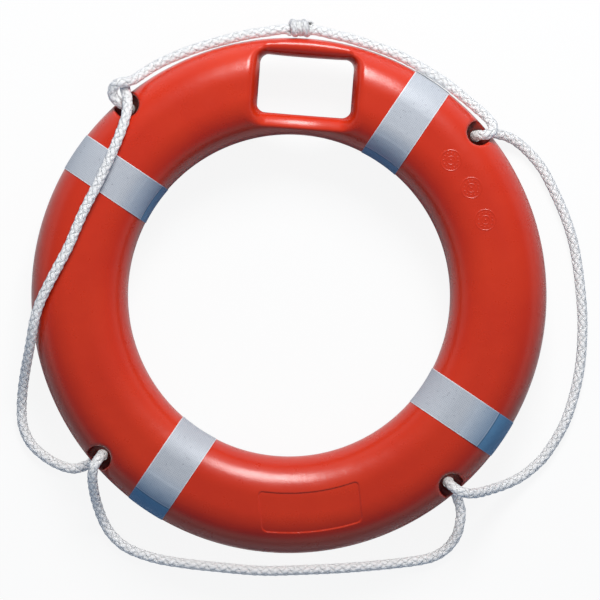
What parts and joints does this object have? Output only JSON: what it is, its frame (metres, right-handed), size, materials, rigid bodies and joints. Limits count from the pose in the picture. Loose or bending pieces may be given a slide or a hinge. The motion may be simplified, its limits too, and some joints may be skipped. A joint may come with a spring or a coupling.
{
  "type": "ring lifebuoy",
  "caption": "Moulded orange ring lifebuoy with a hand slot, silver reflective bands and a white braided grab line threaded through holes near its rim.",
  "frame": {"origin": "on the floor under the centre of the ring, as it lies on its back", "axes": "+Z is the ring's axis and points out of its front face, and +Y points from the ring's centre to the hand slot"},
  "size_m": [0.7059, 0.6965, 0.115],
  "materials": {
    "shell": "satin moulded polyethylene",
    "foam": "rigid foam, unseen",
    "plug": "moulded",
    "tape": "retroreflective, cellular",
    "rope": "braided synthetic rope"
  },
  "bodies": {
    "root": {"front_shell": "shell", "back_shell": "shell", "foam_core": "foam", "fill_plug": "plug", "vent_plug": "plug", "reflective_tape_upper_right": "tape", "reflective_tape_lower_right": "tape", "reflective_tape_lower_left": "tape", "reflective_tape_upper_left": "tape", "grab_line_top_left": "rope", "grab_line_top_right": "rope", "grab_line_right_loop": "rope", "grab_line_bottom_loop": "rope", "grab_line_left_loop": "rope", "grab_line_hitch": "rope", "grab_line_knot": "rope"}
  },
  "joints": []
}
